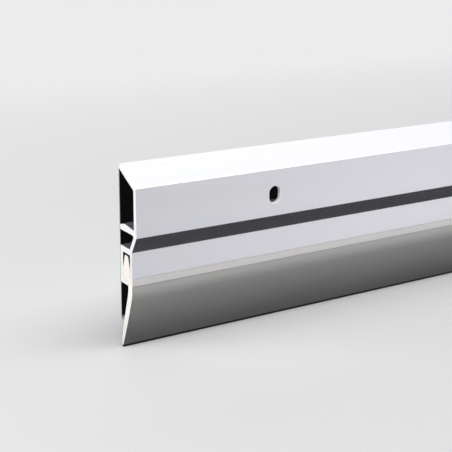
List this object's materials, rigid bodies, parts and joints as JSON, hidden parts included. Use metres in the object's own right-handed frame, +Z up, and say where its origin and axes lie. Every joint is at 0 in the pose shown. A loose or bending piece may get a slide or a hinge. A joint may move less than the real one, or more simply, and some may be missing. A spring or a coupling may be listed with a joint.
{
  "type": "door bottom seal",
  "caption": "Extruded aluminium strip for the foot of a door, with a sloping lip, a slotted face plate and a channel that holds a curved soft sealing blade.",
  "frame": {"origin": "centre of the channel's flat back, on the face of the door", "axes": "+X along the strip to the right as seen from the front, +Y into the door, +Z up"},
  "size_m": [0.914, 0.009, 0.0498],
  "materials": {
    "aluminium": "satin anodised, with fine lines along the extrusion",
    "blade": "smooth soft plastic, pale grey, with a lighter head and shoulder"
  },
  "bodies": {
    "root": {"aluminium_profile": "aluminium", "sealing_blade": "blade"}
  },
  "joints": []
}
